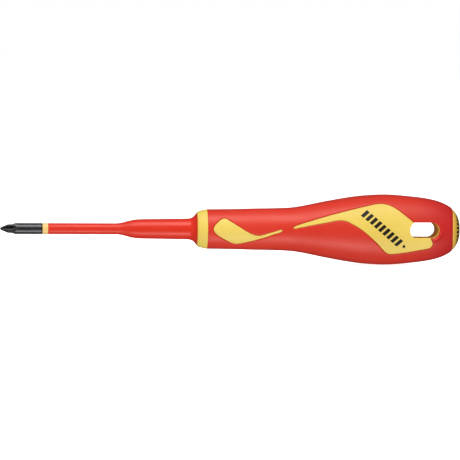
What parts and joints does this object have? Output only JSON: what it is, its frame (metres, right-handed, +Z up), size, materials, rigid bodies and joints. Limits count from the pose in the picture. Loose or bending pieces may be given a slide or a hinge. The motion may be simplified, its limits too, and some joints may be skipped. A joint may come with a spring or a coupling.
{
  "type": "insulated screwdriver",
  "caption": "Cross-head screwdriver with a slim insulated shank, a two-colour overmoulded handle swelling towards the rear, a hanging slot and a domed end cap.",
  "frame": {"origin": "the point of the blade, on the tool axis", "axes": "+X along the tool axis from the point to the end cap, +Z up, the hanging slot runs through along Y; the windows in the grip are the same on both sides, turned half a turn about X"},
  "size_m": [0.187, 0.0264, 0.0286],
  "materials": {
    "blade_steel": "black oxide, satin",
    "yellow_insulation": "smooth moulded",
    "red_insulation": "smooth moulded, satin gloss",
    "core_plastic": "as moulded",
    "yellow_plastic": "fine satin",
    "red_grip": "soft matt"
  },
  "bodies": {
    "root": {"blade": "blade_steel", "inner_sleeve": "yellow_insulation", "outer_sleeve": "red_insulation", "handle_core": "core_plastic", "handle_body": "yellow_plastic", "soft_grip": "red_grip", "end_cap": "yellow_plastic"}
  },
  "joints": []
}
